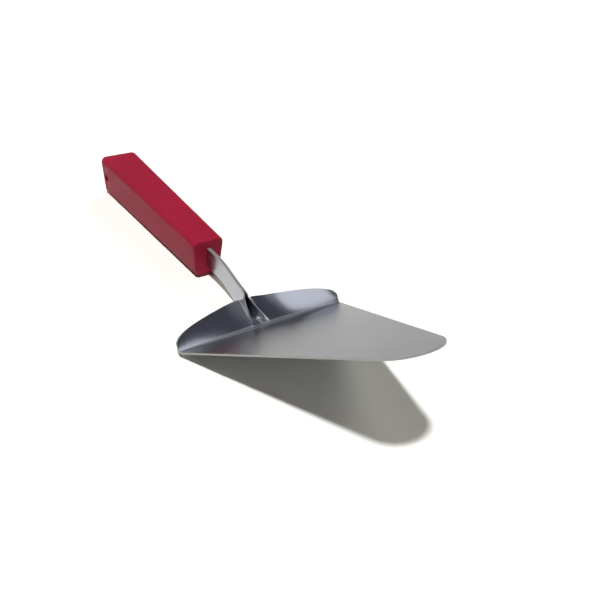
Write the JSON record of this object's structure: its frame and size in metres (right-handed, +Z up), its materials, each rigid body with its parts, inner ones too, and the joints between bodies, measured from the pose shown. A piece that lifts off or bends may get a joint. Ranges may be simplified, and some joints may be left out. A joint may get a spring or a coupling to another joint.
{
  "type": "brick trowel",
  "caption": "Trowel with a flat tapering steel blade, round nose, upturned mirror-bright heel, thin folded upright neck and a red flared plastic handle.",
  "frame": {"origin": "middle of the bounding box at ground level, with the tool leaning on its heel crease and on the butt of the handle", "axes": "+X towards the nose along the tool, +Y across the blade, +Z up"},
  "size_m": [0.322, 0.1044, 0.0679],
  "materials": {
    "stainless_steel": "satin blade with fine grinding lines, mirror-polished heel",
    "red_plastic": "moulded, satin"
  },
  "bodies": {
    "root": {"blade": "stainless_steel", "handle": "red_plastic"}
  },
  "joints": []
}
